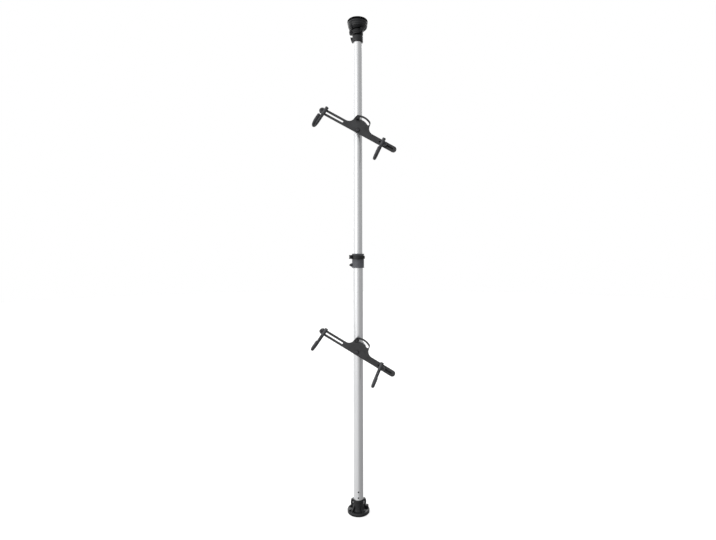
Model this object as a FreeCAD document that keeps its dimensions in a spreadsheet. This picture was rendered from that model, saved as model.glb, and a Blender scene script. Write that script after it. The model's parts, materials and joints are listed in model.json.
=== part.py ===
import FreeCAD, Part
import math
import os
import sys

import Sketcher

# Two tier bike rack: a tension pole that stands between floor and ceiling, with two tilting plate carriers.
# Millimetres. +Z is up along the pole axis, the carriers face -Y, and the origin is on the pole axis at the floor.

V = FreeCAD.Vector
doc = FreeCAD.newDocument("two_tier_bike_rack")
sheet = doc.addObject("Spreadsheet::Sheet", "dims")

ROWS = [
    # foot
    ("pad_radius", "53.5", "floor pad radius"),
    ("pad_height", "5", "floor pad height"),
    ("foot_radius", "54", "foot flange radius"),
    ("neck_radius", "26.6", "foot neck radius"),
    ("neck_top", "51", "top of the foot neck"),
    ("spigot_radius", "21.9", "spigot inside the lower tube"),
    ("spigot_bore", "16", "bore of the spigot"),
    ("spigot_top", "122", "top of the spigot"),
    ("boss_radius", "7.8", "screw boss radius"),
    ("boss_top", "22", "top of the screw bosses"),
    ("foot_screw_circle", "46", "radius that the foot screws stand on"),
    ("foot_screw_angle", "25", "first foot screw, degrees from +X"),
    ("ring_outer", "28", "lock ring body radius"),
    ("ring_low", "53", "underside of the lock ring"),
    ("ring_top", "64", "top of the lock ring"),
    ("ear_reach", "37.8", "reach of the lock ring's ears"),
    ("ear_low", "34.5", "lower end of the lock ring's ears"),
    ("spigot_screw_low", "76", "lower spigot screw"),
    ("spigot_screw_high", "104", "upper spigot screw"),
    ("rib_count", "5", "ribs on the foot and on the cup"),
    ("rib_start", "8", "first rib, degrees from +X"),
    # pole
    ("lower_radius", "24", "lower tube outer radius"),
    ("lower_bore", "22", "lower tube inner radius"),
    ("lower_start", "9", "lower end of the lower tube"),
    ("lower_end", "1226", "upper end of the lower tube"),
    ("upper_radius", "21.5", "upper tube outer radius"),
    ("upper_bore", "19.7", "upper tube inner radius"),
    ("upper_start", "760", "lower end of the upper tube"),
    ("upper_end", "2312", "upper end of the upper tube"),
    ("bush_radius", "21.95", "guide bush radius"),
    # collar
    ("collar_low", "1192", "underside of the collar"),
    ("collar_high", "1261", "top of the collar"),
    ("collar_radius", "29.4", "collar body radius"),
    ("collar_lip", "30", "collar lip radius"),
    ("cam_x", "-35", "flip lever cam centre"),
    ("cam_y", "-20", "flip lever cam centre"),
    ("cam_radius", "9", "flip lever cam radius"),
    ("lever_mid", "1245", "height of the flip lever bolt"),
    ("lever_in", "31.2", "inside radius of the flip lever"),
    ("lever_out", "36.2", "outside radius of the flip lever"),
    ("clamp_screw_z", "1206", "height of the lower collar screw"),
    # ceiling end
    ("sleeve_radius", "26.8", "top sleeve radius"),
    ("sleeve_low", "2293.5", "lower end of the top sleeve"),
    ("sleeve_high", "2323", "upper end of the top sleeve"),
    ("sleeve_screw_z", "2302", "height of the sleeve screw"),
    ("spindle_radius", "10", "jack spindle radius"),
    ("thread_pitch", "4", "jack spindle pitch"),
    ("grip_radius", "27.2", "grip ring radius"),
    ("grip_low", "2330", "underside of the grip ring"),
    ("grip_high", "2354", "top of the grip ring"),
    ("wing_reach", "40.8", "reach of the grip ring's wings"),
    ("wing_start", "60", "first wing, degrees from +X"),
    ("cup_low", "2354.5", "underside of the ceiling cup"),
    ("cup_high", "2391", "top of the ceiling cup"),
    ("cup_radius", "48.5", "ceiling cup radius"),
    ("overall_height", "2400", "floor to ceiling"),
    # carriers
    ("lower_pivot", "788.5", "height of the lower carrier pivot"),
    ("upper_pivot", "1853.8", "height of the upper carrier pivot"),
    ("lower_tilt", "30.25", "lower plate, right end down, degrees"),
    ("upper_tilt", "28.6", "upper plate, right end down, degrees"),
    ("lower_swing", "-6.4", "lower carrier turned about the pole, degrees"),
    ("upper_swing", "0.5", "upper carrier turned about the pole, degrees"),
    ("liner_outer", "25.15", "liner outer radius"),
    ("clamp_bore", "25.2", "pole clamp bore radius"),
    ("clamp_radius", "29.2", "pole clamp outer radius"),
    ("clamp_face", "42", "front face of the pole clamp"),
    ("plate_back", "45", "back of the tilt plate"),
    ("plate_thick", "4", "thickness of the tilt plate"),
    ("plate_half", "208.5", "half length of the tilt plate"),
    ("arm_half", "15", "half height of the plate arms"),
    ("hump_radius", "71.3", "radius of the hump about the pivot"),
    ("hump_half", "38.2", "half width of the hump at its top"),
    ("hump_foot", "46.7", "half width of the hump at its foot"),
    ("hump_flare", "30", "round between the hump and the arms"),
    ("hump_corner", "14", "round of the hump's upper corners"),
    ("arc_slot_in", "51.5", "inside radius of the arc slot"),
    ("arc_slot_out", "62.8", "outside radius of the arc slot"),
    ("arc_slot_half", "32", "half angle of the arc slot, degrees"),
    ("slot_half", "4.1", "half width of the straight slots"),
    ("slot_drop", "0", "straight slots below the arm centre"),
    ("slot_left_out", "199.5", "outer end of the left slot"),
    ("slot_left_in", "84", "inner end of the left slot"),
    ("slot_right_in", "118", "inner end of the right slot"),
    ("slot_right_out", "188", "outer end of the right slot"),
    ("lock_rise", "57", "lock bolt above the pivot"),
    ("lower_left_bolt", "197", "lower left hook bolt from the pivot"),
    ("lower_right_bolt", "144", "lower right hook bolt from the pivot"),
    ("upper_left_bolt", "194", "upper left hook bolt from the pivot"),
    ("upper_right_bolt", "145.8", "upper right hook bolt from the pivot"),
    ("rod_offset", "13.5", "hook rod beside its bolt"),
    ("rod_radius", "6", "hook rod radius"),
    ("sleeve_rubber", "7.8", "hook sleeve radius"),
    ("rod_y", "58", "hook rod in front of the pole axis"),
    ("bend_radius", "28", "hook bend, centre line"),
    ("bend_z", "60.5", "hook bend centre below the bolt"),
    ("tip_z", "42", "top of the hook tip below the bolt"),
    ("splay_lower_left", "4", "hook swing outwards, degrees"),
    ("splay_lower_right", "7.5", "hook swing outwards, degrees"),
    ("splay_upper_left", "5.5", "hook swing outwards, degrees"),
    ("splay_upper_right", "3", "hook swing outwards, degrees"),
]
for row, (alias, value, note) in enumerate(ROWS, start=1):
    sheet.set("A%d" % row, alias)
    sheet.set("B%d" % row, value)
    sheet.set("C%d" % row, note)
    sheet.setAlias("B%d" % row, alias)
doc.recompute()


class Dim:
    """A length or angle with the expression that gives it."""

    def __init__(self, value, text=None):
        self.v = float(value)
        self.e = text if text is not None else repr(float(value))
        self.bound = text is not None

    def _mix(self, other, sign, value):
        out = Dim(value, "(%s %s %s)" % (self.e, sign, other.e))
        out.bound = self.bound or other.bound
        return out

    def __add__(self, other):
        other = dim(other)
        return self._mix(other, "+", self.v + other.v)

    def __sub__(self, other):
        other = dim(other)
        return self._mix(other, "-", self.v - other.v)

    def __mul__(self, other):
        other = dim(other)
        return self._mix(other, "*", self.v * other.v)

    def __neg__(self):
        return Dim(0) - self

    __radd__ = __add__
    __rmul__ = __mul__


def dim(value):
    return value if isinstance(value, Dim) else Dim(value)


def d(alias):
    return Dim(sheet.get(alias), "dims." + alias)


def dcos(angle):
    angle = dim(angle)
    out = Dim(math.cos(math.radians(angle.v)), "cos(%s)" % angle.e)
    out.bound = angle.bound
    return out


def dsin(angle):
    angle = dim(angle)
    out = Dim(math.sin(math.radians(angle.v)), "sin(%s)" % angle.e)
    out.bound = angle.bound
    return out


PIECES = []
CUTS = []
PLANES = {"XY": "XY_Plane", "XZ": "XZ_Plane", "YZ": "YZ_Plane"}


def new_body(label, solids=False):
    body = doc.addObject("PartDesign::Body", label)
    body.Label = label
    body.AllowCompound = solids
    PIECES.append(body)
    return body


def origin(body, role):
    return [f for f in body.Origin.OriginFeatures if f.Role == role][0]


def new_sketch(body, plane, offset=0, turn=0):
    s = body.newObject("Sketcher::SketchObject", "sketch_" + body.Label)
    s.AttachmentSupport = [(origin(body, PLANES[plane]), "")]
    s.MapMode = "FlatFace"
    offset, turn = dim(offset), dim(turn)
    s.AttachmentOffset = FreeCAD.Placement(V(0, 0, offset.v), FreeCAD.Rotation(V(0, 1, 0), turn.v))
    if offset.bound:
        s.setExpression("AttachmentOffset.Base.z", offset.e)
    if turn.bound:
        s.setExpression("AttachmentOffset.Rotation.Angle", turn.e)
    return s


def hold_point(s, geo, pos, x, y):
    """Place a point of the sketch by its two distances from the origin."""
    for kind, value in (("DistanceX", dim(x)), ("DistanceY", dim(y))):
        if abs(value.v) < 1e-9:
            s.addConstraint(Sketcher.Constraint("PointOnObject", geo, pos, -2 if kind == "DistanceX" else -1))
            continue
        c = s.addConstraint(Sketcher.Constraint(kind, -1, 1, geo, pos, value.v))
        if value.bound:
            s.setExpression("Constraints[%d]" % c, value.e)


def add_poly(s, points):
    points = [(dim(x), dim(y)) for x, y in points]
    lines = []
    for (x0, y0), (x1, y1) in zip(points, points[1:] + points[:1]):
        lines.append(s.addGeometry(Part.LineSegment(V(x0.v, y0.v, 0), V(x1.v, y1.v, 0)), False))
    s.addConstraint([Sketcher.Constraint("Coincident", a, 2, b, 1) for a, b in zip(lines, lines[1:] + lines[:1])])
    for line, (x, y) in zip(lines, points):
        hold_point(s, line, 1, x, y)


def add_circle(s, x, y, radius):
    x, y, radius = dim(x), dim(y), dim(radius)
    g = s.addGeometry(Part.Circle(V(x.v, y.v, 0), V(0, 0, 1), radius.v), False)
    if abs(x.v) < 1e-9 and abs(y.v) < 1e-9:
        s.addConstraint(Sketcher.Constraint("Coincident", g, 3, -1, 1))
    else:
        hold_point(s, g, 3, x, y)
    c = s.addConstraint(Sketcher.Constraint("Radius", g, radius.v))
    if radius.bound:
        s.setExpression("Constraints[%d]" % c, radius.e)


def draw(s, shapes):
    for shape in shapes:
        if shape[0] == "circle":
            add_circle(s, *shape[1:])
        else:
            add_poly(s, shape[1])


def bind(feature, name, value):
    value = dim(value)
    setattr(feature, name, value.v)
    if value.bound:
        feature.setExpression(name, value.e)


def pad(body, plane, low, high, shapes):
    """Material from low to high along the axis across the plane."""
    low, high = dim(low), dim(high)
    s = new_sketch(body, plane, -high if plane == "XZ" else low)
    draw(s, shapes)
    f = body.newObject("PartDesign::Pad", "pad_" + body.Label)
    f.Profile = s
    bind(f, "Length", high - low)
    body.Tip = f
    return f


def cut(body, plane, low, high, shapes):
    """Material away from low to high along the axis across the plane."""
    low, high = dim(low), dim(high)
    before = body.Tip
    s = new_sketch(body, plane, -low if plane == "XZ" else high)
    draw(s, shapes)
    f = body.newObject("PartDesign::Pocket", "pocket_" + body.Label)
    f.Profile = s
    bind(f, "Length", high - low)
    body.Tip = f
    CUTS.append((before, f))
    return f


def revolve(body, points, turn=0, angle=360):
    """A ring about the body's Z axis from (radius, height) points."""
    s = new_sketch(body, "XZ", 0, turn)
    add_poly(s, points)
    f = body.newObject("PartDesign::Revolution", "revolution_" + body.Label)
    f.Profile = s
    f.ReferenceAxis = (s, ["V_Axis"])
    bind(f, "Angle", angle)
    body.Tip = f
    return f


def polar(body, feature, count):
    f = body.newObject("PartDesign::PolarPattern", "pattern_" + body.Label)
    f.Originals = [feature]
    f.Axis = (origin(body, "Z_Axis"), [""])
    f.Angle = 360
    count = dim(count)
    f.Occurrences = int(count.v)
    if count.bound:
        f.setExpression("Occurrences", count.e)
    body.Tip = f
    return f


def soften(body, radius, chosen, kind="Fillet"):
    """Round (or chamfer) the edges of the body that the test picks."""
    doc.recompute()
    base = body.Tip
    names = ["Edge%d" % (i + 1) for i, e in enumerate(base.Shape.Edges) if chosen(e)]
    if not names:
        print("no edge chosen on", body.Label)
        sys.exit(1)
    f = body.newObject("PartDesign::" + kind, kind.lower() + "_" + body.Label)
    f.Base = (base, names)
    bind(f, "Radius" if kind == "Fillet" else "Size", radius)
    body.Tip = f
    return f


def along(e, axis):
    """True for a straight edge along an axis."""
    if e.Curve.TypeId != "Part::GeomLine":
        return False
    t = e.Vertexes[1].Point - e.Vertexes[0].Point
    return abs(abs(getattr(t, axis)) - t.Length) < 1e-6


def ring_at(e, axis, place, radius=None):
    """True for a circular edge whose plane stands at this place along an axis."""
    if e.Curve.TypeId != "Part::GeomCircle":
        return False
    ok = abs(getattr(e.Curve.Center, axis) - place) < 1e-3 and abs(abs(getattr(e.Curve.Axis, axis)) - 1) < 1e-6
    return ok and (radius is None or abs(e.Curve.Radius - radius) < 1e-3)


def place(obj, x=0, z=0, tilt=0, swing=0):
    """Tilt about the Y axis and move by x and z, then turn all of it about the pole."""
    x, z, tilt, swing = dim(x), dim(z), dim(tilt), dim(swing)
    px, py = x * dcos(swing), x * dsin(swing)
    obj.Placement = FreeCAD.Placement(V(px.v, py.v, z.v), FreeCAD.Rotation(swing.v, tilt.v, 0))
    obj.setExpression("Placement", "create(<<placement>>; create(<<vector>>; %s; %s; %s); create(<<rotation>>; %s; %s; 0))"
                      % (px.e, py.e, z.e, swing.e, tilt.e))


def hexagon(x, y, flats, flat_up=True):
    """Six corners of a nut, with a flat or a corner up."""
    start = 0 if flat_up else 30
    r = flats / math.sqrt(3)
    return ("poly", [(dim(x) + r * math.cos(math.radians(start + 60 * k)), dim(y) + r * math.sin(math.radians(start + 60 * k))) for k in range(6)])


def screw_spots(radius):
    """The two foot screws, opposite each other and swung round from the X axis."""
    a, r = d("foot_screw_angle"), d("foot_screw_circle")
    x, y = r * dcos(a), r * dsin(a)
    return [("circle", x, y, radius), ("circle", -x, -y, radius)]


def fins(body, outline, thick, start, count):
    """Upright fins round the Z axis from one (radius, height) outline, the first at the start angle."""
    s = new_sketch(body, "XZ", 0, start)
    add_poly(s, outline)
    f = body.newObject("PartDesign::Pad", "fin_" + body.Label)
    f.Profile = s
    f.Midplane = True
    bind(f, "Length", thick)
    body.Tip = f
    return polar(body, f, count)


# ---------------------------------------------------------------- foot
ph = d("pad_height")

b = new_body("floor_pad")
revolve(b, [(0, 0), (20, 0), (20, 1), (23, 1), (23, 0), (35, 0), (35, 1), (38, 1), (38, 0), (d("pad_radius") - 1, 0),
            (d("pad_radius"), 1), (d("pad_radius"), ph), (0, ph)])
cut(b, "XY", 2, ph, screw_spots(3.2))

b = new_body("base_foot")
fr, nr, nt, lr = d("foot_radius"), d("neck_radius"), d("neck_top"), d("lower_radius")
revolve(b, [(d("spigot_bore"), ph), (fr, ph), (fr, 10.5), (fr - 1, 13), (fr - 3, 14.8), (fr - 5.5, 15), (fr - 7, 13.8), (fr - 8, 12.2), (36, 12.8),
            (32, 14.5), (29.5, 18), (28, 23), (nr + 0.6, 29), (nr, 35), (nr, nt - 1.2), (nr - 1.2, nt), (lr + 0.1, nt), (lr + 0.1, d("lower_start")),
            (d("spigot_radius"), d("lower_start")), (d("spigot_radius"), d("spigot_top") - 1), (d("spigot_radius") - 1, d("spigot_top")),
            (d("spigot_bore"), d("spigot_top"))])
fins(b, [(nr - 1, 10), (nr - 1, 33.8), (nr + 2.5, 33.5), (32.5, 31), (38, 24.5), (43, 18.5), (fr - 6.5, 16), (fr - 5, 14.2), (fr - 5, 10)], 5,
     d("rib_start"), d("rib_count"))
pad(b, "XY", 6, d("boss_top"), screw_spots(d("boss_radius")))
cut(b, "XY", ph, d("boss_top"), screw_spots(3.1))
cut(b, "XY", d("boss_top") - 3.4, d("boss_top"), screw_spots(5.3))
cut(b, "XZ", -22.5, -14, [("circle", 0, d("spigot_screw_low"), 2.5), ("circle", 0, d("spigot_screw_high"), 2.5)])
soften(b, 1.2, lambda e: ring_at(e, "z", 22, 7.8))

b = new_body("foot_screws", True)
pad(b, "XY", 2.3, d("boss_top") - 3.4, screw_spots(3))
pad(b, "XY", d("boss_top") - 3.4, d("boss_top") - 0.4, screw_spots(5))
socket = []
for _, x, y, _ in screw_spots(1):
    socket.append(("poly", [(x + 2.2 * math.cos(math.radians(60 * k)), y + 2.2 * math.sin(math.radians(60 * k))) for k in range(6)]))
cut(b, "XY", d("boss_top") - 2.2, d("boss_top") - 0.4, socket)
soften(b, 1, lambda e: ring_at(e, "z", 21.6, 5))

b = new_body("base_ring")
rl, rt, er, el = d("ring_low"), d("ring_top"), d("ear_reach"), d("ear_low")
ro = d("ring_outer")
revolve(b, [(lr + 0.06, nt + 0.15), (nr - 1, nt + 0.15), (nr - 1, rl), (ro - 0.8, rl), (ro, rl + 0.8), (ro, rt - 2), (ro - 1.5, rt), (lr + 0.06, rt)])
fins(b, [(ro - 1.5, rl), (ro - 1.5, rt - 0.4), (ro + 1, rt), (ro + 4, rt - 0.6), (er - 2.6, rt - 3.6), (er - 0.6, rt - 8), (er, rt - 14),
         (er - 0.5, el + 3.5), (er - 2, el), (ro - 0.2, el), (ro - 0.2, rl)], 13, 4, 2)
soften(b, 2, lambda e: e.Curve.TypeId == "Part::GeomLine" and e.BoundBox.ZMin > 34 and e.BoundBox.ZMax < 63.8
       and math.hypot(e.CenterOfMass.x, e.CenterOfMass.y) > 35 and abs(math.hypot(e.CenterOfMass.x, e.CenterOfMass.y)) < 39
       and e.Length > 3.5 and abs(e.Vertexes[0].Point.z - e.Vertexes[1].Point.z) > 0.5)

# ---------------------------------------------------------------- pole
ur = d("upper_radius")
b = new_body("lower_tube")
pad(b, "XY", d("lower_start"), d("lower_end"), [("circle", 0, 0, lr), ("circle", 0, 0, d("lower_bore"))])
cut(b, "XZ", -30, -15, [("circle", 0, d("spigot_screw_low"), 4), ("circle", 0, d("spigot_screw_high"), 4)])

b = new_body("spigot_screws", True)
spots = [d("spigot_screw_low"), d("spigot_screw_high")]
pad(b, "XZ", -21.9, -15, [("circle", 0, z, 2.45) for z in spots])
pad(b, "XZ", -23.4, -21.9, [("circle", 0, z, 3.6) for z in spots])
cut(b, "XZ", -23.4, -22.5, [("poly", [(1.7 * math.cos(math.radians(60 * k)), z + 1.7 * math.sin(math.radians(60 * k))) for k in range(6)]) for z in spots])

b = new_body("upper_tube")
pad(b, "XY", d("upper_start"), d("upper_end"), [("circle", 0, 0, ur), ("circle", 0, 0, d("upper_bore"))])
cut(b, "XZ", 15, 25, [("circle", 0, d("sleeve_screw_z"), 2.2)])

b = new_body("guide_bush")
us = d("upper_start")
revolve(b, [(14, us - 12), (d("bush_radius") - 1, us - 12), (d("bush_radius"), us - 11), (d("bush_radius"), us), (d("upper_bore") - 0.05, us),
            (d("upper_bore") - 0.05, us + 25), (14, us + 25)])

# ---------------------------------------------------------------- mid collar
cl, ch, cr, cp = d("collar_low"), d("collar_high"), d("collar_radius"), d("collar_lip")
lm, sz = d("lever_mid"), d("clamp_screw_z")
b = new_body("collar")
revolve(b, [(lr + 0.05, cl), (cp - 0.6, cl), (cp, cl + 0.6), (cp, cl + 3), (cr, cl + 4), (cr, ch - 4), (cp, ch - 3), (cp, ch - 0.6), (cp - 0.6, ch),
            (ur + 0.08, ch), (ur + 0.08, d("lower_end") + 0.3), (lr + 0.05, d("lower_end") + 0.3)])
pad(b, "XZ", -10.5, 10.5, [("poly", [(-24.6, lm - 10.5), (-38.5, lm - 9), (-42.5, lm - 5), (-42.5, lm + 5), (-38.5, lm + 9), (-24.6, lm + 10.5)])])
pad(b, "XZ", -9, 9, [("poly", [(-24.6, sz - 10), (-34, sz - 8), (-42.5, sz - 2.5), (-42.5, sz + 2.5), (-34, sz + 8), (-24.6, sz + 10)])])
cut(b, "XY", cl, ch, [("poly", [(-46, -1.5), (-18, -1.5), (-18, 1.5), (-46, 1.5)])])
cut(b, "XZ", -12, 12, [("circle", d("cam_x"), lm, 2.6), ("circle", -35, sz, 2.6)])
cut(b, "XZ", -32, -27.6, [("poly", [(-2, lm - 15), (16, lm - 15), (19, lm - 12), (19, lm - 4), (-2, lm - 4)])])

b = new_body("collar_lever")
cx, cy = d("cam_x"), d("cam_y")
li, lo = d("lever_in"), d("lever_out")
pad(b, "XY", lm - 9, lm + 9.5, [("circle", cx, cy + 0.7, d("cam_radius") - 0.5)])
revolve(b, [(li, lm - 12), (lo - 1, lm - 12), (lo, lm - 9), (lo, lm + 4), (lo - 1, lm + 6), (lo - 2, lm + 9.5), (li, lm + 9.5)], turn=205, angle=128)
tip = 333
pad(b, "XY", lm - 12, lm + 7, [("circle", (li + 3) * dcos(tip), (li + 3) * dsin(tip), 2.95)])
cut(b, "XZ", -45, 0, [("poly", [(-25, lm + 9.5), (-25, lm + 12), (42, lm + 12), (42, lm + 5.5), (16, lm + 6), (-6, lm + 9)]),
                      ("poly", [(-26, lm - 9), (16, lm - 9.5), (42, lm - 8), (42, lm - 14), (-46, lm - 14), (-46, lm - 9)])])
cut(b, "XY", lm - 3.2, lm + 3.2, [("poly", [(-46, -25.5), (-31.6, -25.5), (-31.6, -5), (-46, -5)])])
cut(b, "XY", lm - 9, lm + 9.5, [("circle", cx, cy, 4.03)])

b = new_body("lever_pin")
pad(b, "XY", lm - 8.5, lm + 9, [("circle", cx, cy, 3.98)])
cut(b, "XZ", -25, -15, [("circle", cx, lm, 2.5)])

b = new_body("lever_bolt")
pad(b, "XZ", -23, 10.5, [("circle", cx, lm, 2.45)])
pad(b, "XZ", 10.5, 11.7, [("circle", cx, lm, 6)])
pad(b, "XZ", 11.7, 15.7, [hexagon(cx, lm, 8)])

b = new_body("collar_screw", True)
pad(b, "XZ", -9, 13.5, [("circle", -35, sz, 2.45)])
pad(b, "XZ", -13, -9, [("circle", -35, sz, 4.3)])
cut(b, "XZ", -13, -10.8, [hexagon(-35, sz, 4)])
pad(b, "XZ", 9, 13, [hexagon(-35, sz, 8), ("circle", -35, sz, 2.6)])

# ---------------------------------------------------------------- ceiling end
sl, sh, sr, sq = d("sleeve_low"), d("sleeve_high"), d("sleeve_radius"), d("sleeve_screw_z")
sp, gl, gh = d("spindle_radius"), d("grip_low"), d("grip_high")
b = new_body("top_sleeve")
revolve(b, [(ur + 0.05, sl), (sr - 2.4, sl), (sr - 0.6, sl + 3), (sr, sl + 8), (sr, sh - 1.5), (sr - 1.5, sh), (sp + 0.08, sh),
            (sp + 0.08, d("upper_end") + 0.1), (ur + 0.05, d("upper_end") + 0.1)])
pad(b, "XZ", -5, 5, [("poly", [(-24, sl + 0.5), (-27.5, sl + 2.5), (-31.5, sl + 10), (-34.6, sl + 20), (-34.8, sl + 25), (-33.5, sl + 26),
                               (-31, sl + 25.6), (-29, sl + 23.5), (-24, sl + 25)])])
cut(b, "XZ", 15, 30, [("circle", 0, sq, 2.1)])

b = new_body("sleeve_screw")
pad(b, "XZ", 18, sr + 0.1, [("circle", 0, sq, 2)])
pad(b, "XZ", sr + 0.1, sr + 2.6, [("circle", 0, sq, 4)])
cut(b, "XZ", sr + 1, sr + 2.6, [("poly", [(2 * math.cos(math.radians(60 * k)), sq + 2 * math.sin(math.radians(60 * k))) for k in range(6)])])

b = new_body("spindle")
pitch = d("thread_pitch")
outline = [(0, 2216), (8.6, 2216), (sp, 2218)]
for k in range(27):
    z = pitch * k + 2221
    outline += [(sp, z), (sp - 0.8, z + 0.9), (sp - 0.8, z + 1.5), (sp, z + 2.4)]
outline += [(sp, d("cup_low") + 13.5), (sp - 0.5, d("cup_low") + 14), (0, d("cup_low") + 14)]
revolve(b, outline)

b = new_body("grip_ring")
gr, wr = d("grip_radius"), d("wing_reach")
revolve(b, [(sp + 0.02, gl), (gr - 3, gl), (gr - 0.8, gl + 1.2), (gr, gl + 3), (gr, gl + 6), (gr - 1.2, gl + 7.2), (gr - 1.2, gl + 8.2), (gr, gl + 9.4),
            (gr, gl + 14), (gr - 1.2, gl + 15.2), (gr - 1.2, gl + 16.2), (gr, gl + 17.4), (gr, gl + 21), (gr - 2.5, gh), (sp + 0.02, gh)])
fins(b, [(gr - 2, gl + 1), (wr - 5, gl + 2), (wr - 1.5, gl + 5), (wr, gl + 11), (wr - 0.5, gl + 18.5), (wr - 1.8, gl + 23), (wr - 4, gl + 24.5),
         (wr - 8, gl + 22.5), (gr - 2, gl + 22)], 10,
     d("wing_start"), 3)

b = new_body("thrust_washer")
cw = d("cup_low")
revolve(b, [(0, cw + 14), (9.9, cw + 14), (9.9, cw + 16), (0, cw + 16)])

b = new_body("ceiling_cup")
cu, cz = d("cup_radius"), d("cup_high")
revolve(b, [(sp + 0.06, cw), (27, cw), (32, cw + 1.6), (34, cw + 4.4), (37.2, cw + 4.4), (40.6, cw + 9.4), (42.6, cw + 9.4), (44.4, cw + 16.4),
            (45.8, cw + 16.4), (46.4, cw + 26), (cu, cw + 28),
            (cu, cz), (0, cz), (0, cw + 16), (sp + 0.06, cw + 16)])
fins(b, [(30, cw + 2), (36, cw + 2), (41, cw + 5.5), (45, cw + 11), (47.2, cw + 18), (cu - 0.3, cw + 26), (cu - 0.3, cw + 30), (30, cw + 30)], 5,
     d("rib_start"), d("rib_count"))

b = new_body("ceiling_pad")
revolve(b, [(0, cz), (cu + 0.05, cz), (cu + 0.05, cz - 1.5), (cu + 0.8, cz - 1.5), (cu + 1.2, cz - 0.8), (cu + 1.2, d("overall_height") - 2.5),
            (cu - 0.5, d("overall_height")), (0, d("overall_height"))])


# ---------------------------------------------------------------- carriers
def hook(prefix, side, zp, tilt, turn, splay):
    """Holder, rod, rubber sleeve and bolt of one hook. Their own origin is on the bolt axis."""
    s = 1 if side == "left" else -1
    u = -d(prefix + "_left_bolt") if side == "left" else d(prefix + "_right_bolt")
    n = -d("slot_drop")
    x = u * dcos(tilt) + n * dsin(tilt)
    z = zp - u * dsin(tilt) + n * dcos(tilt)
    swing = tilt + s * splay
    ro, ry = d("rod_offset"), d("rod_y")
    front = -d("plate_back") - d("plate_thick")

    body = new_body("%s_%s_hook_holder" % (prefix, side))
    seat = front - 0.04
    pad(body, "XZ", front - 11, seat, [("circle", 0, 0, 11.5)])
    soften(body, 1.5, lambda e: ring_at(e, "y", front.v - 11, 11.5))
    pad(body, "XZ", front - 6, seat, [("poly", [(0, -9), (s * ro, -9), (s * ro, 11), (0, 11)])])
    pad(body, "XY", -14, 25, [("circle", s * ro, -ry, 8.5)])
    cut(body, "XY", -14, 22, [("circle", s * ro, -ry, d("rod_radius") + 0.05)])
    cut(body, "XZ", front - 12, front, [("circle", 0, 0, 4.05)])
    cut(body, "XZ", front - 12, front - 6, [("circle", 0, 0, 5.9)])
    soften(body, 2, lambda e: ring_at(e, "z", 25, 8.5))
    place(body, x, z, swing, turn)

    def tube_run(name, x0, y0, low, high, radius):
        c = doc.addObject("Part::Cylinder", name)
        bind(c, "Radius", radius)
        bind(c, "Height", high - low)
        c.Placement = FreeCAD.Placement(V(x0.v, y0.v, low.v), FreeCAD.Rotation())
        c.setExpression("Placement.Base.x", x0.e)
        c.setExpression("Placement.Base.y", y0.e)
        c.setExpression("Placement.Base.z", low.e)
        return c

    def half_ring(name, radius):
        t = doc.addObject("Part::Torus", name)
        bind(t, "Radius1", d("bend_radius"))
        bind(t, "Radius2", radius)
        t.Angle1, t.Angle2, t.Angle3 = -180, 180, 180
        y0 = -ry - d("bend_radius")
        z0 = -d("bend_z")
        t.Placement = FreeCAD.Placement(V(s * ro.v, y0.v, z0.v), FreeCAD.Rotation(V(0, -1, 0), V(0, 0, -1), V(1, 0, 0), "XYZ"))
        t.setExpression("Placement.Base.x", (s * ro).e)
        t.setExpression("Placement.Base.y", y0.e)
        t.setExpression("Placement.Base.z", z0.e)
        return t

    def bent(name, radius, shank_top, tip_top, ball=False):
        """A J in the plane across the plate: shank, half ring and tip."""
        rx = s * ro
        tip_y = -ry - 2 * d("bend_radius")
        runs = [tube_run(name + "_shank", rx, -ry, -d("bend_z"), shank_top, radius), half_ring(name + "_bend", radius),
                tube_run(name + "_tip", rx, tip_y, -d("bend_z"), tip_top, radius)]
        if ball:
            c = doc.addObject("Part::Sphere", name + "_end")
            bind(c, "Radius", radius)
            c.Placement = FreeCAD.Placement(V(rx.v, tip_y.v, tip_top.v), FreeCAD.Rotation())
            c.setExpression("Placement.Base.x", rx.e)
            c.setExpression("Placement.Base.y", tip_y.e)
            c.setExpression("Placement.Base.z", tip_top.e)
            runs.append(c)
        f = doc.addObject("Part::MultiFuse", name)
        f.Shapes = runs
        return f

    rod = bent("%s_%s_hook_rod" % (prefix, side), d("rod_radius"), dim(21.8), -d("tip_z"))
    rod.Label = "%s_%s_hook_rod" % (prefix, side)
    place(rod, x, z, swing, turn)
    PIECES.append(rod)

    name = "%s_%s_hook_sleeve" % (prefix, side)
    skin = bent(name + "_skin", d("sleeve_rubber"), dim(-16.5), -d("tip_z") + 0.5, True)
    core = bent(name + "_core", d("rod_radius") + 0.03, dim(-14.5), -d("tip_z") + 0.05)
    sleeve = doc.addObject("Part::Cut", name)
    sleeve.Base, sleeve.Tool = skin, core
    sleeve.Label = name
    place(sleeve, x, z, swing, turn)
    PIECES.append(sleeve)

    body = new_body("%s_%s_hook_bolt" % (prefix, side))
    pad(body, "XZ", front - 6, -d("plate_back"), [("circle", 0, 0, 3.95)])
    pad(body, "XZ", -d("plate_back"), -d("plate_back") + 4, [("circle", 0, 0, 7.5)])
    soften(body, 1.5, lambda e: ring_at(e, "y", -41, 7.5))
    pad(body, "XZ", front - 10.5, front - 6, [("circle", 0, 0, 5.6)])
    soften(body, 0.8, lambda e: ring_at(e, "y", front.v - 10.5, 5.6))
    cut(body, "XZ", front - 10.5, front - 8, [hexagon(0, 0, 5, False)])
    place(body, x, z, swing, turn)


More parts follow.
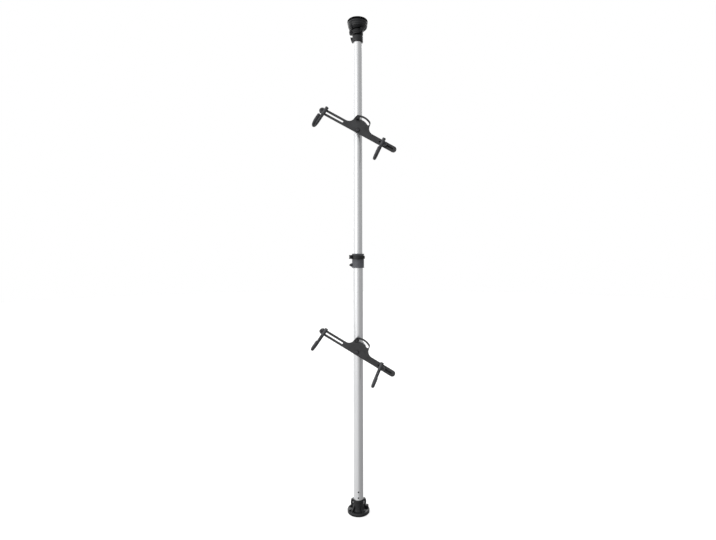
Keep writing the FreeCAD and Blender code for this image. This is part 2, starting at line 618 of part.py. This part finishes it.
def carrier(prefix, zp, rp, tilt, turn, splay_left, splay_right):
    """One carrier: clamp on the pole, tilting plate and two hooks. Its own origin is on the pivot axis."""
    face, back, thick = -d("clamp_face"), -d("plate_back"), d("plate_thick")
    front = back - thick
    rise = d("lock_rise")

    b = new_body(prefix + "_pole_liner")
    lo_, lr_ = d("liner_outer"), rp + 0.05
    revolve(b, [(lr_, 12), (27.5, 12), (27.5, 14), (lo_, 14), (lo_, 36), (27.5, 36), (27.5, 38), (lr_, 38)])
    cut(b, "XY", 12, 38, [("poly", [(-1.5, 15), (1.5, 15), (1.5, 30), (-1.5, 30)])])
    place(b, 0, zp, 0, turn)

    b = new_body(prefix + "_pole_clamp")
    pad(b, "XY", 14.15, 35.85, [("circle", 0, 0, d("clamp_radius")), ("circle", 0, 0, d("clamp_bore"))])
    pad(b, "XY", 14.15, 35.85, [("poly", [(-14, face), (14, face), (14, -26.6), (-14, -26.6)])])
    pad(b, "XZ", face, face + 7, [("poly", [(-13, -4.5), (-9, -9.5), (9, -9.5), (13, -4.5), (13, 24), (9, rise + 4), (5, rise + 9), (-5, rise + 9),
                                            (-9, rise + 4), (-13, 24)])])
    pad(b, "XY", 14.15, 35.85, [("poly", [(-10, 26), (10, 26), (10, 45), (-10, 45)])])
    cut(b, "XY", 5, 45, [("poly", [(-2, 20), (2, 20), (2, 50), (-2, 50)])])
    cut(b, "XZ", face - 1, face + 8, [("circle", 0, 0, 4.05), ("circle", 0, rise, 4.05)])
    cut(b, "YZ", -12, 12, [("circle", 37, 25, 3.1)])
    soften(b, 4, lambda e: along(e, "x") and abs(e.CenterOfMass.y - 45) < 1e-3)
    place(b, 0, zp, 0, turn)

    b = new_body(prefix + "_clamp_bolt")
    pad(b, "YZ", -10, 22, [("circle", 37, 25, 2.95)])
    pad(b, "YZ", -11.2, -10, [("circle", 37, 25, 6.5)])
    pad(b, "YZ", -16, -11.2, [hexagon(37, 25, 10)])
    place(b, 0, zp, 0, turn)

    b = new_body(prefix + "_clamp_pin")
    pad(b, "XY", 19, 31, [("circle", 19.3, 37, 4.98)])
    cut(b, "YZ", 13, 26, [("circle", 37, 25, 3)])
    place(b, 0, zp, 0, turn)

    b = new_body(prefix + "_clamp_lever")
    pad(b, "XY", 18.5, 31.5, [("circle", 18.7, 37, 8.4)])
    revolve(b, [(32, 19.5), (37, 19.5), (37, 30.5), (32, 30.5)], turn=-8, angle=68)
    pad(b, "XY", 19.5, 30.5, [("circle", 35 * math.cos(math.radians(-8)), 35 * math.sin(math.radians(-8)), 3.4)])
    cut(b, "XY", 21.8, 28.2, [("poly", [(5, 33.7), (22.6, 33.7), (22.6, 50), (5, 50)])])
    cut(b, "XY", 18.5, 31.5, [("circle", 19.3, 37, 5.03)])
    place(b, 0, zp, 0, turn)

    b = new_body(prefix + "_plate_washers", True)
    pad(b, "XZ", back, face, [("circle", 0, 0, 14), ("circle", 0, 0, 6.05)])
    pad(b, "XZ", back, face, [("circle", 0, rise, 8.5), ("circle", 0, rise, 4.1)])
    pad(b, "XZ", front - 1.6, front, [("circle", 0, 0, 11), ("circle", 0, 0, 6.05)])
    pad(b, "XZ", front - 1.6, front, [("circle", 0, rise, 10), ("circle", 0, rise, 4.1)])
    place(b, 0, zp, 0, turn)

    b = new_body(prefix + "_pivot_bolt", True)
    pad(b, "XZ", face, face + 12.5, [("circle", 0, 0, 4)])
    pad(b, "XZ", front - 1.6, face, [("circle", 0, 0, 6)])
    pad(b, "XZ", front - 7, front - 1.6, [("circle", 0, 0, 9.5)])
    soften(b, 4, lambda e: ring_at(e, "y", front.v - 7, 9.5))
    pad(b, "XZ", face + 7, face + 12, [hexagon(0, 0, 13), ("circle", 0, 0, 4.1)])
    place(b, 0, zp, 0, turn)

    b = new_body(prefix + "_lock_bolt")
    pad(b, "XZ", front - 14, face + 7, [("circle", 0, rise, 4)])
    pad(b, "XZ", face + 7, face + 10.5, [("circle", 0, rise, 7.5)])
    soften(b, 1.5, lambda e: ring_at(e, "y", face.v + 10.5, 7.5))
    place(b, 0, zp, 0, turn)

    b = new_body(prefix + "_lock_knob")
    pad(b, "XZ", front - 12.5, front - 1.6, [("circle", 0, rise, 9)])
    lobes = [("circle", 8.6 * math.cos(math.radians(90 + 72 * k)), rise + 8.6 * math.sin(math.radians(90 + 72 * k)), 3.2) for k in range(5)]
    pad(b, "XZ", front - 11.5, front - 2.6, lobes)
    cut(b, "XZ", front - 12.5, front - 1.6, [("circle", 0, rise, 4.05)])
    place(b, 0, zp, 0, turn)

    # The plate: two arms, a hump whose top is round about the pivot, an arc slot in the hump and a straight slot in each arm.
    b = new_body(prefix + "_tilt_plate")
    s = new_sketch(b, "XZ", -back)
    w, L, hh, hf, hr = d("arm_half"), d("plate_half"), d("hump_half"), d("hump_foot"), d("hump_radius")
    top = math.sqrt(hr.v ** 2 - hh.v ** 2)
    pts = [(-hh, None), (-hf, w), (-L, w), (-L, -w), (L, -w), (L, w), (hf, w), (hh, None)]
    val = [(p[0].v, top if p[1] is None else p[1].v) for p in pts]
    lines = [s.addGeometry(Part.LineSegment(V(*p, 0), V(*q, 0)), False) for p, q in zip(val, val[1:])]
    a = math.acos(hh.v / hr.v)
    arc = s.addGeometry(Part.ArcOfCircle(Part.Circle(V(0, 0, 0), V(0, 0, 1), hr.v), a, math.pi - a), False)
    for p, q in zip(lines, lines[1:]):
        s.addConstraint(Sketcher.Constraint("Coincident", p, 2, q, 1))
    s.addConstraint(Sketcher.Constraint("Coincident", arc, 3, -1, 1))
    s.addConstraint(Sketcher.Constraint("Coincident", arc, 2, lines[0], 1))
    s.addConstraint(Sketcher.Constraint("Coincident", arc, 1, lines[-1], 2))
    c = s.addConstraint(Sketcher.Constraint("Radius", arc, hr.v))
    s.setExpression("Constraints[%d]" % c, hr.e)
    for line, pos, x in ((lines[0], 1, -hh), (lines[-1], 2, hh)):
        c = s.addConstraint(Sketcher.Constraint("DistanceX", -1, 1, line, pos, x.v))
        s.setExpression("Constraints[%d]" % c, x.e)
    for line, (x, y) in zip(lines[1:], pts[1:-1]):
        hold_point(s, line, 1, x, y)
    f = b.newObject("PartDesign::Pad", "pad_" + b.Label)
    f.Profile = s
    bind(f, "Length", thick)
    b.Tip = f
    soften(b, w - 0.2, lambda e: along(e, "y") and abs(abs(e.CenterOfMass.x) - L.v) < 1e-3)
    soften(b, d("hump_flare"), lambda e: along(e, "y") and abs(abs(e.CenterOfMass.x) - hf.v) < 1e-3 and abs(e.CenterOfMass.z - w.v) < 1e-3)
    soften(b, d("hump_corner"), lambda e: along(e, "y") and abs(abs(e.CenterOfMass.x) - hh.v) < 1e-3 and e.CenterOfMass.z > 40)
    # arc slot: a groove about the pivot, with a round hole at each end
    s = new_sketch(b, "YZ")
    add_poly(s, [(front - 1, d("arc_slot_in")), (back + 1, d("arc_slot_in")), (back + 1, d("arc_slot_out")), (front - 1, d("arc_slot_out"))])
    before = b.Tip
    f = b.newObject("PartDesign::Groove", "groove_" + b.Label)
    f.Profile = s
    f.ReferenceAxis = (s, ["H_Axis"])
    f.Midplane = True
    bind(f, "Angle", 2 * d("arc_slot_half"))
    b.Tip = f
    CUTS.append((before, f))
    mid = (d("arc_slot_in") + d("arc_slot_out")) * 0.5
    end_r = (d("arc_slot_out") - d("arc_slot_in")) * 0.5
    half = d("arc_slot_half")
    cut(b, "XZ", front, back, [("circle", sx * mid * dsin(half), mid * dcos(half), end_r) for sx in (-1, 1)])
    # straight slots
    sw, sd = d("slot_half"), d("slot_drop")
    for x0, x1 in ((-d("slot_left_out"), -d("slot_left_in")), (d("slot_right_in"), d("slot_right_out"))):
        cut(b, "XZ", front, back, [("poly", [(x0, -sd - sw), (x1, -sd - sw), (x1, -sd + sw), (x0, -sd + sw)])])
        cut(b, "XZ", front, back, [("circle", x0, -sd, sw), ("circle", x1, -sd, sw)])
    cut(b, "XZ", front, back, [("circle", 0, 0, 6.05)])
    place(b, 0, zp, tilt, turn)

    b = new_body(prefix + "_slot_rail")
    x0, x1 = d("slot_right_in") - 9, d("slot_right_out") + 8
    pad(b, "XZ", back, back + 10, [("poly", [(x0, -sd - 11), (x1, -sd - 11), (x1, -sd + 11), (x0, -sd + 11)])])
    cut(b, "XZ", back, back + 8.5, [("poly", [(x0 + 1.6, -sd - 9.4), (x1 - 1.6, -sd - 9.4), (x1 - 1.6, -sd + 9.4), (x0 + 1.6, -sd + 9.4)])])
    place(b, 0, zp, tilt, turn)

    hook(prefix, "left", zp, tilt, turn, splay_left)
    hook(prefix, "right", zp, tilt, turn, splay_right)


carrier("lower", d("lower_pivot"), lr, d("lower_tilt"), d("lower_swing"), d("splay_lower_left"), d("splay_lower_right"))
carrier("upper", d("upper_pivot"), ur, d("upper_tilt"), d("upper_swing"), d("splay_upper_left"), d("splay_upper_right"))

doc.recompute()

# ---------------------------------------------------------------- tests, then the files
faults = []
for obj in doc.Objects:
    if "Invalid" in obj.State or "Error" in obj.State:
        faults.append("%s is %s" % (obj.Label, obj.State))
for before, after in CUTS:
    if before.Shape.isNull() or after.Shape.isNull():
        faults.append("%s has no shape" % after.Label)
    elif not after.Shape.Volume < before.Shape.Volume - 1e-3:
        faults.append("%s takes nothing away" % after.Label)
names = [p.Label for p in PIECES]
if len(set(names)) != len(names) or len(names) > 60:
    faults.append("piece names")
for piece in PIECES:
    shape = piece.Shape
    if shape.isNull() or not shape.isValid() or not shape.Solids:
        faults.append("%s has no valid solid" % piece.Label)
if faults:
    print("\n".join(faults))
    sys.exit(1)

os.makedirs("parts", exist_ok=True)
for piece in PIECES:
    piece.Shape.exportStep(os.path.join("parts", piece.Label + ".step"))
    print(piece.Label, len(piece.Shape.Solids), round(piece.Shape.Volume))
print(len(PIECES), "pieces")
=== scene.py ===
import json
import math

import bmesh
import bpy
from mathutils import Matrix, Vector

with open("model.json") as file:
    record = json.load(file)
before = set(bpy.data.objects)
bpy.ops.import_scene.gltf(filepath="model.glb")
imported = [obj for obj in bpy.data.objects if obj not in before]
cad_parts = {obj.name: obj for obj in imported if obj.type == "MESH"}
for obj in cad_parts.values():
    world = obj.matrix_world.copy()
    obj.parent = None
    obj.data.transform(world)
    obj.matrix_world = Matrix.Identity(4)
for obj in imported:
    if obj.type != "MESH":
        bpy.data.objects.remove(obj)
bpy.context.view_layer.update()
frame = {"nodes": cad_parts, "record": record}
nodes = frame["nodes"]
scene = bpy.context.scene

# ------------------------------------------------------------------ camera
MM_PER_PX = 4.9            # at the pole's axis
SIDE, LEFT, RIGHT = (-0.35, 0.50), 1.15, 0.47        # the studio's brightness, from left to right
BEHIND, BELOW, ABOVE = 0.40, 0.87, 1.10
UNDER, GLOW = 0.25, 3.0    # straight below, and high on the wall behind
KEY_W = 26
DIST = 2.2
CAM_Z = 1.245
cam_data = bpy.data.cameras.new("camera")
cam_data.sensor_width = 36.0
cam_data.lens = 36.0 * DIST / (716 * MM_PER_PX / 1000)
cam_data.shift_y = -13.0 / 716
cam_data.clip_start, cam_data.clip_end = 0.05, 60
cam = bpy.data.objects.new("camera", cam_data)
cam.location = (0.0, -DIST, CAM_Z)
cam.rotation_euler = (math.radians(90), math.radians(0.12), 0)
scene.collection.objects.link(cam)
scene.camera = cam
scene.view_settings.view_transform = "Standard"


# ------------------------------------------------------------------ material helpers
class Mat:
    """A node material for one finish, with small helpers to chain its nodes."""

    def __init__(self, name, rough=0.5, metal=0.0, **sockets):
        self.m = bpy.data.materials.new(name)
        self.m.use_nodes = True
        self.t = self.m.node_tree
        self.b = self.t.nodes["Principled BSDF"]
        self.b.inputs["Roughness"].default_value = rough
        self.b.inputs["Metallic"].default_value = metal
        for k, v in sockets.items():
            self.b.inputs[k.replace("_", " ")].default_value = v
        self.coord = self.t.nodes.new("ShaderNodeTexCoord")

    def node(self, kind, **values):
        n = self.t.nodes.new(kind)
        for k, v in values.items():
            if hasattr(n, k):
                setattr(n, k, v)
            else:
                n.inputs[k.replace("_", " ")].default_value = v
        return n

    def link(self, a, b):
        self.t.links.new(a, b)

    def space(self, scale=(1, 1, 1), rotation=(0, 0, 0)):
        n = self.node("ShaderNodeMapping")
        n.inputs["Scale"].default_value = scale
        n.inputs["Rotation"].default_value = rotation
        self.link(self.coord.outputs["Object"], n.inputs["Vector"])
        return n.outputs["Vector"]

    def noise(self, scale, detail=4.0, rough=0.55, vector=None, distort=0.0):
        n = self.node("ShaderNodeTexNoise")
        n.inputs["Scale"].default_value = scale
        n.inputs["Detail"].default_value = detail
        n.inputs["Roughness"].default_value = rough
        n.inputs["Distortion"].default_value = distort
        self.link(vector or self.space(), n.inputs["Vector"])
        return n.outputs["Fac"]

    def cells(self, scale, vector=None, feature="F1"):
        n = self.node("ShaderNodeTexVoronoi")
        n.feature = feature
        n.inputs["Scale"].default_value = scale
        self.link(vector or self.space(), n.inputs["Vector"])
        return n.outputs["Distance"]

    def ramp(self, value, low, high, to_low=0.0, to_high=1.0):
        n = self.node("ShaderNodeMapRange")
        n.inputs["From Min"].default_value = low
        n.inputs["From Max"].default_value = high
        n.inputs["To Min"].default_value = to_low
        n.inputs["To Max"].default_value = to_high
        self.link(value, n.inputs["Value"])
        return n.outputs["Result"]

    def math(self, op, a, b):
        n = self.node("ShaderNodeMath")
        n.operation = op
        for i, v in enumerate((a, b)):
            if isinstance(v, (int, float)):
                n.inputs[i].default_value = v
            else:
                self.link(v, n.inputs[i])
        return n.outputs[0]

    def mix(self, factor, a, b):
        n = self.node("ShaderNodeMix")
        n.data_type = "RGBA"
        for name, v in (("A", a), ("B", b)):
            sock = [s for s in n.inputs if s.name == name and s.type == "RGBA"][0]
            if isinstance(v, tuple):
                sock.default_value = (*v, 1)
            else:
                self.link(v, sock)
        fac = [s for s in n.inputs if s.name == "Factor" and s.type == "VALUE"][0]
        if isinstance(factor, (int, float)):
            fac.default_value = factor
        else:
            self.link(factor, fac)
        return [s for s in n.outputs if s.type == "RGBA"][0]

    def colour(self, value):
        self.link(value, self.b.inputs["Base Color"])

    def rough(self, value):
        self.link(value, self.b.inputs["Roughness"])

    def painted_gap_shade(self, colour, depth=0.012, keep=0.18):
        """Painted shade: ambient occlusion lowers the colour to keep times itself in narrow gaps and inner corners."""
        n = self.node("ShaderNodeAmbientOcclusion")
        n.samples = 6
        n.inputs["Distance"].default_value = depth
        low = self.ramp(n.outputs["AO"], 0.25, 0.85, keep, 1.0)
        grey = self.node("ShaderNodeCombineColor")
        for i in range(3):
            self.link(low, grey.inputs[i])
        m = self.node("ShaderNodeMix")
        m.data_type, m.blend_type = "RGBA", "MULTIPLY"
        [k for k in m.inputs if k.name == "Factor" and k.type == "VALUE"][0].default_value = 1.0
        a, b = [k for k in m.inputs if k.type == "RGBA"][:2]
        self.link(colour, a)
        self.link(grey.outputs[0], b)
        return [k for k in m.outputs if k.type == "RGBA"][0]

    def bump(self, *layers):
        """layers: (height, strength, distance in metres), the first is the coarsest."""
        normal = None
        for height, strength, distance in layers:
            n = self.node("ShaderNodeBump")
            n.inputs["Strength"].default_value = strength
            n.inputs["Distance"].default_value = distance
            self.link(height, n.inputs["Height"])
            if normal is not None:
                self.link(normal, n.inputs["Normal"])
            normal = n.outputs["Normal"]
        self.link(normal, self.b.inputs["Normal"])


def plastic(name, dark, light, grain=1400, rough=0.5, scuff=0.5, gloss=0.5, depth=0.012):
    """Moulded plastic: fine grain, slight flow marks, painted shade in the low places and a few pale scuffs."""
    m = Mat(name, rough, Specular_IOR_Level=gloss)
    flow = m.noise(9, 3, 0.5, m.space((1, 1, 2.2)))
    mottle = m.noise(70, 5, 0.6)
    scratch = m.noise(220, 3, 0.6, m.space((1, 1, 0.06), (0.5, 0.3, 0)))
    scuffs = m.math("MULTIPLY", m.ramp(scratch, 0.66, 0.74), m.ramp(m.noise(26, 2, 0.5), 0.5, 0.68))
    base = m.mix(m.ramp(m.math("ADD", flow, mottle), 0.75, 1.25), dark, light)
    base = m.mix(m.math("MULTIPLY", scuffs, scuff), base, tuple(min(1, c * 2.6 + 0.02) for c in light))
    # painted shade: the colour is darkened in gaps and inner corners by ambient occlusion
    m.colour(m.painted_gap_shade(base, depth))
    m.rough(m.ramp(mottle, 0.3, 0.7, rough - 0.09, rough + 0.1))
    m.bump((m.noise(60, 2), 0.12, 0.0004), (m.cells(grain), 0.22, 0.0002), (scuffs, 0.25, 0.0001))
    return m.m


def powder(name, dark, light, rough=0.42, grain=1500, gloss=0.5):
    """Powder coat: a fine orange peel with specks, rubbed a little paler where pieces slide."""
    m = Mat(name, rough, 0.0, Specular_IOR_Level=gloss)
    m.b.inputs["Coat Weight"].default_value = 0.06
    m.b.inputs["Coat Roughness"].default_value = 0.3
    peel = m.noise(grain * 0.5, 3, 0.6)
    speck = m.cells(grain * 1.2)
    broad = m.noise(26, 4, 0.6)
    rub = m.math("MULTIPLY", m.ramp(m.noise(180, 4, 0.7, m.space((1, 0.4, 1))), 0.6, 0.75), m.ramp(m.noise(18, 2), 0.52, 0.7))
    base = m.mix(m.ramp(broad, 0.3, 0.7), dark, light)
    # painted shade: the rubbed coat colour is darkened in gaps and inner corners by ambient occlusion
    m.colour(m.painted_gap_shade(m.mix(m.math("MULTIPLY", rub, 0.35), base, tuple(c * 2.0 + 0.01 for c in light)), 0.006, 0.35))
    m.rough(m.ramp(broad, 0.3, 0.7, rough - 0.06, rough + 0.08))
    m.bump((broad, 0.05, 0.0006), (peel, 0.3, 0.00022), (speck, 0.12, 0.0001))
    return m.m


def metal(name, dark, light, rough, lines=None, blast=0.0, metallic=1.0):
    """Bare or plated metal: turned or drawn lines along one direction, or a blasted skin."""
    m = Mat(name, rough, metallic)
    broad = m.noise(22, 4, 0.6)
    m.colour(m.mix(m.ramp(broad, 0.3, 0.7), dark, light))
    layers = []
    if lines:
        fine = m.noise(1.0, 2, 0.6, m.space(lines))
        layers.append((fine, 0.12, 0.00008))
        m.rough(m.math("ADD", m.ramp(fine, 0.3, 0.7, rough - 0.06, rough + 0.06), m.ramp(broad, 0.35, 0.65, -0.03, 0.03)))
    else:
        m.rough(m.ramp(broad, 0.3, 0.7, rough - 0.05, rough + 0.07))
    if blast:
        layers.append((m.noise(2600, 2, 0.7), blast, 0.00015))
    if layers:
        m.bump(*layers)
    return m.m


def tube_finish():
    """Drawn and anodised aluminium tube: fine lengthwise die lines, soft blotches and a few handling marks."""
    m = Mat("silver_tube", 0.36, 0.7)
    die = m.noise(1.0, 2, 0.5, m.space((420, 420, 1.2)))
    blotch = m.noise(1.0, 3, 0.5, m.space((9, 9, 2.5)))
    rings = m.noise(1.0, 2, 0.6, m.space((14, 14, 900)))
    marks = m.math("MULTIPLY", m.ramp(rings, 0.70, 0.76), m.ramp(m.noise(7, 2, 0.5), 0.58, 0.72))
    base = m.mix(m.ramp(blotch, 0.3, 0.7), (0.70, 0.708, 0.718), (0.745, 0.75, 0.757))
    base = m.mix(m.ramp(die, 0.35, 0.65, 0.0, 0.08), base, (0.60, 0.605, 0.61))
    m.colour(m.mix(m.math("MULTIPLY", marks, 0.2), base, (0.45, 0.45, 0.46)))
    m.rough(m.math("ADD", m.ramp(die, 0.3, 0.7, 0.30, 0.38), m.ramp(blotch, 0.3, 0.7, -0.02, 0.02)))
    m.bump((die, 0.05, 0.00004), (marks, 0.15, 0.00004))
    return m.m


def rubber(name, dark, light, rough=0.72, grain=1800, gloss=0.3, dusty=0.22):
    m = Mat(name, rough, Specular_IOR_Level=gloss)
    dust = m.noise(45, 5, 0.65)
    base = m.mix(m.ramp(m.noise(8, 2), 0.35, 0.65), dark, light)
    m.colour(m.mix(m.ramp(dust, 0.56, 0.8, 0.0, dusty), base, tuple(c * 3 + 0.01 for c in light)))
    m.rough(m.ramp(dust, 0.3, 0.7, rough - 0.08, rough + 0.1))
    m.bump((m.noise(120, 3), 0.12, 0.0003), (m.cells(grain), 0.2, 0.00012))
    return m.m


SLOTS = {
    "silver_tube": tube_finish(),
    "foot_plastic": plastic("foot_plastic", (0.009, 0.0092, 0.0104), (0.018, 0.0184, 0.0208), rough=0.33, gloss=0.32),
    "collar_plastic": plastic("collar_plastic", (0.070, 0.071, 0.078), (0.104, 0.106, 0.117), rough=0.42, gloss=0.35, depth=0.008),
    "knob_plastic": plastic("knob_plastic", (0.008, 0.008, 0.009), (0.016, 0.016, 0.0175), rough=0.36, grain=1800, gloss=0.3, depth=0.006),
    "washers": plastic("washers", (0.035, 0.035, 0.038), (0.05, 0.05, 0.055), rough=0.5, grain=2000),
    "nylon": plastic("nylon", (0.60, 0.585, 0.55), (0.70, 0.69, 0.655), rough=0.45, grain=2000, scuff=0.1),
    "liner_nylon": plastic("liner_nylon", (0.03, 0.03, 0.032), (0.045, 0.045, 0.05), rough=0.5, grain=2000),
    "plate_paint": powder("plate_paint", (0.0095, 0.0097, 0.0108), (0.036, 0.0366, 0.040)),
    "holder_metal": powder("holder_metal", (0.034, 0.0344, 0.038), (0.054, 0.0545, 0.060), rough=0.38),
    "hook_steel": powder("hook_steel", (0.014, 0.0145, 0.016), (0.024, 0.0245, 0.027), rough=0.36, gloss=0.4),
    "dark_screws": metal("dark_screws", (0.034, 0.034, 0.036), (0.066, 0.066, 0.071), 0.34, (300, 300, 300), metallic=0.9),
    "steel_pins": metal("steel_pins", (0.50, 0.505, 0.52), (0.64, 0.64, 0.65), 0.3, (500, 500, 500)),
    "clamp_aluminium": metal("clamp_aluminium", (0.60, 0.61, 0.62), (0.70, 0.71, 0.72), 0.42, None, 0.3),
    "rubber_pads": rubber("rubber_pads", (0.002, 0.002, 0.0022), (0.004, 0.004, 0.0045), rough=0.85, gloss=0.06, dusty=0.1),
    "hook_rubber": rubber("hook_rubber", (0.033, 0.0333, 0.0362), (0.054, 0.0547, 0.060), rough=0.55, gloss=0.35),
}

slot_of = {s["node"]: s["material_slot"] for s in frame["record"]["subparts"]}
BEVEL = {"silver_tube": 0.0004, "rubber_pads": 0.0007, "hook_rubber": 0.0004, "steel_pins": 0.0004, "dark_screws": 0.0003}
for name, obj in nodes.items():
    mat = SLOTS[slot_of[name]]
    if not obj.material_slots:
        obj.data.materials.append(mat)
    for ms in obj.material_slots:
        ms.material = mat
    bev = obj.modifiers.new("edges", "BEVEL")
    bev.width = BEVEL.get(slot_of[name], 0.0005)
    bev.segments = 2
    bev.limit_method = "ANGLE"
    bev.angle_limit = math.radians(38)
    bev.harden_normals = False
    bev.use_clamp_overlap = True

# ------------------------------------------------------------------ floor, world and lights
bm = bmesh.new()
bmesh.ops.create_circle(bm, cap_ends=True, segments=96, radius=14)
me = bpy.data.meshes.new("floor")
bm.to_mesh(me)
bm.free()
floor = bpy.data.objects.new("floor", me)
floor.location = (0, 0, -0.0002)
fm = Mat("floor", 0.8)
fm.colour(fm.mix(fm.noise(3, 4), (0.58, 0.58, 0.58), (0.61, 0.61, 0.61)))
fm.b.inputs["Specular IOR Level"].default_value = 0.0
fm.b.inputs["Emission Color"].default_value = (1.0, 1.0, 1.0, 1)
fm.b.inputs["Emission Strength"].default_value = 0.52
me.materials.append(fm.m)
scene.collection.objects.link(floor)
floor.visible_glossy = floor.visible_diffuse = False

# A white backdrop, and a studio that is bright on the left and behind, and darker on the right.
world = bpy.data.worlds.new("studio")
scene.world = world
world.use_nodes = True
wt = world.node_tree
wn = wt.nodes
backdrop = wn["Background"]
backdrop.inputs["Color"].default_value = (1.0, 1.0, 1.0, 1)
backdrop.inputs["Strength"].default_value = 1.0
room = wn.new("ShaderNodeBackground")
room.inputs["Color"].default_value = (1.0, 1.0, 1.0, 1)
where = wn.new("ShaderNodeTexCoord")
parts = wn.new("ShaderNodeSeparateXYZ")
wt.links.new(where.outputs["Generated"], parts.inputs["Vector"])


def world_ramp(value, low, high, to_low, to_high):
    n = wn.new("ShaderNodeMapRange")
    n.interpolation_type = "SMOOTHSTEP"
    n.inputs["From Min"].default_value = low
    n.inputs["From Max"].default_value = high
    n.inputs["To Min"].default_value = to_low
    n.inputs["To Max"].default_value = to_high
    wt.links.new(value, n.inputs["Value"])
    return n.outputs["Result"]


side = world_ramp(parts.outputs["X"], SIDE[0], SIDE[1], LEFT, RIGHT)
behind = world_ramp(parts.outputs["Y"], 0.55, 0.95, 0.0, BEHIND)
height = world_ramp(parts.outputs["Z"], -0.4, 0.4, BELOW, ABOVE)
under = world_ramp(parts.outputs["Z"], -0.70, -0.46, UNDER, 1.0)
raised = world_ramp(parts.outputs["Z"], 0.36, 0.56, 0.0, GLOW)      # the lit wall above the horizon, behind the object
wall = world_ramp(parts.outputs["Y"], 0.45, 0.8, 0.0, 1.0)
total = side
for op, extra in (("ADD", behind), ("MULTIPLY", height), ("MULTIPLY", under)):
    step = wn.new("ShaderNodeMath")
    step.operation = op
    wt.links.new(total, step.inputs[0])
    wt.links.new(extra, step.inputs[1])
    total = step.outputs[0]
glow = wn.new("ShaderNodeMath")
glow.operation = "MULTIPLY_ADD"
wt.links.new(raised, glow.inputs[0])
wt.links.new(wall, glow.inputs[1])
wt.links.new(total, glow.inputs[2])
wt.links.new(glow.outputs[0], room.inputs["Strength"])
seen = wn.new("ShaderNodeLightPath")
choose = wn.new("ShaderNodeMixShader")
wt.links.new(seen.outputs["Is Camera Ray"], choose.inputs[0])
wt.links.new(room.outputs[0], choose.inputs[1])
wt.links.new(backdrop.outputs[0], choose.inputs[2])
wt.links.new(choose.outputs[0], wn["World Output"].inputs["Surface"])


def area(name, where, aim, size, power, colour=(1, 1, 1)):
    data = bpy.data.lights.new(name, "AREA")
    data.shape = "RECTANGLE"
    data.size, data.size_y = size
    data.energy = power
    data.color = colour
    o = bpy.data.objects.new(name, data)
    o.location = where
    o.rotation_mode = "QUATERNION"
    o.rotation_quaternion = (Vector(aim) - Vector(where)).to_track_quat("-Z", "Y")
    scene.collection.objects.link(o)
    return o


area("key", (-2.6, -2.2, 2.0), (0, 0, 1.2), (2.2, 3.4), KEY_W)
